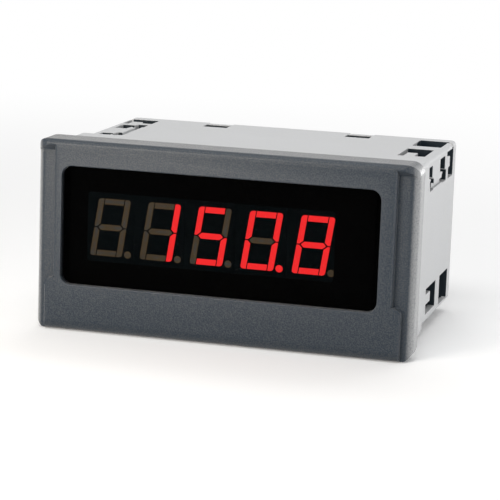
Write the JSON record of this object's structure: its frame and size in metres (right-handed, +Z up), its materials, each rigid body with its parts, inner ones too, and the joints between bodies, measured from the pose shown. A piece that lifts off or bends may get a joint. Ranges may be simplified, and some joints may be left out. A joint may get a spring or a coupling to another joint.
{
  "type": "digital panel meter",
  "caption": "Panel meter with a wide dark frame, a black window with seven-segment digits, and a pale box housing with corner clamp sockets and rear screw terminals.",
  "frame": {"origin": "centre of the plane where the front frame meets the panel", "axes": "+X to the viewer's right, +Y back through the panel, +Z up"},
  "size_m": [0.096, 0.0664, 0.048],
  "materials": {
    "frame_plastic": "fine moulded grain",
    "window_acrylic": "polished, tinted",
    "mask_print": "black print",
    "seal_rubber": "soft",
    "case_plastic": "fine moulded grain",
    "digit_plastic": "matt",
    "bar_lit": "glowing red",
    "bar_unlit": "smoky, unlit",
    "board": "solder mask",
    "part_plastic": "moulded",
    "contact_metal": "bright",
    "core_steel": "laminated",
    "bobbin_plastic": "moulded",
    "copper_wire": "enamelled",
    "can_sleeve": "shrunk sleeve",
    "fuse_body": "moulded",
    "can_metal": "drawn",
    "strip_plastic": "moulded",
    "screw_steel": "zinc plated",
    "clamp_steel": "zinc plated"
  },
  "bodies": {
    "case": {"front_frame": "frame_plastic", "window": "window_acrylic", "display_mask": "mask_print", "panel_seal": "seal_rubber", "housing": "case_plastic", "rear_cover": "case_plastic", "digit_1": "digit_plastic", "digit_2": "digit_plastic", "digit_3": "digit_plastic", "digit_4": "digit_plastic", "digit_5": "digit_plastic", "lit_bars": "bar_lit", "unlit_bars": "bar_unlit", "display_board": "board", "main_board": "board", "supply_board": "board", "header_block": "part_plastic", "header_pins": "contact_metal", "link_spacer": "part_plastic", "link_pins": "contact_metal", "transformer_core": "core_steel", "transformer_bobbin": "bobbin_plastic", "transformer_winding": "copper_wire", "smoothing_capacitor": "can_sleeve", "output_capacitors": "can_sleeve", "rectifier": "part_plastic", "regulator": "part_plastic", "fuse": "fuse_body", "controller_chip": "part_plastic", "converter_chip": "part_plastic", "crystal": "can_metal", "terminal_strip": "strip_plastic", "contact_bars": "contact_metal"},
    "screw_1": {"terminal_screw_1": "screw_steel"},
    "clamp_1": {"wire_clamp_1": "clamp_steel"},
    "screw_2": {"terminal_screw_2": "screw_steel"},
    "clamp_2": {"wire_clamp_2": "clamp_steel"},
    "screw_3": {"terminal_screw_3": "screw_steel"},
    "clamp_3": {"wire_clamp_3": "clamp_steel"},
    "screw_4": {"terminal_screw_4": "screw_steel"},
    "clamp_4": {"wire_clamp_4": "clamp_steel"},
    "screw_5": {"terminal_screw_5": "screw_steel"},
    "clamp_5": {"wire_clamp_5": "clamp_steel"},
    "screw_6": {"terminal_screw_6": "screw_steel"},
    "clamp_6": {"wire_clamp_6": "clamp_steel"}
  },
  "joints": [
    {"name": "screw_1_turn", "type": "hinge", "parent": "case", "child": "screw_1", "pos_m": [-0.01905, 0.055, -0.0152], "axis": [0, -1, 0], "range_deg": [0, 2016.5]},
    {"name": "clamp_1_rise", "type": "slide", "parent": "case", "child": "clamp_1", "axis": [0, 1, 0], "range_m": [0, 0.0028]},
    {"name": "screw_2_turn", "type": "hinge", "parent": "case", "child": "screw_2", "pos_m": [-0.01143, 0.055, -0.0152], "axis": [0, -1, 0], "range_deg": [0, 2016.5]},
    {"name": "clamp_2_rise", "type": "slide", "parent": "case", "child": "clamp_2", "axis": [0, 1, 0], "range_m": [0, 0.0028]},
    {"name": "screw_3_turn", "type": "hinge", "parent": "case", "child": "screw_3", "pos_m": [-0.00381, 0.055, -0.0152], "axis": [0, -1, 0], "range_deg": [0, 2016.5]},
    {"name": "clamp_3_rise", "type": "slide", "parent": "case", "child": "clamp_3", "axis": [0, 1, 0], "range_m": [0, 0.0028]},
    {"name": "screw_4_turn", "type": "hinge", "parent": "case", "child": "screw_4", "pos_m": [0.00381, 0.055, -0.0152], "axis": [0, -1, 0], "range_deg": [0, 2016.5]},
    {"name": "clamp_4_rise", "type": "slide", "parent": "case", "child": "clamp_4", "axis": [0, 1, 0], "range_m": [0, 0.0028]},
    {"name": "screw_5_turn", "type": "hinge", "parent": "case", "child": "screw_5", "pos_m": [0.01143, 0.055, -0.0152], "axis": [0, -1, 0], "range_deg": [0, 2016.5]},
    {"name": "clamp_5_rise", "type": "slide", "parent": "case", "child": "clamp_5", "axis": [0, 1, 0], "range_m": [0, 0.0028]},
    {"name": "screw_6_turn", "type": "hinge", "parent": "case", "child": "screw_6", "pos_m": [0.01905, 0.055, -0.0152], "axis": [0, -1, 0], "range_deg": [0, 2016.5]},
    {"name": "clamp_6_rise", "type": "slide", "parent": "case", "child": "clamp_6", "axis": [0, 1, 0], "range_m": [0, 0.0028]}
  ],
  "couplings": [
    {"joint": "screw_1_turn", "follows": "clamp_1_rise", "rad_per_m": 12566},
    {"joint": "screw_2_turn", "follows": "clamp_2_rise", "rad_per_m": 12566},
    {"joint": "screw_3_turn", "follows": "clamp_3_rise", "rad_per_m": 12566},
    {"joint": "screw_4_turn", "follows": "clamp_4_rise", "rad_per_m": 12566},
    {"joint": "screw_5_turn", "follows": "clamp_5_rise", "rad_per_m": 12566},
    {"joint": "screw_6_turn", "follows": "clamp_6_rise", "rad_per_m": 12566}
  ]
}
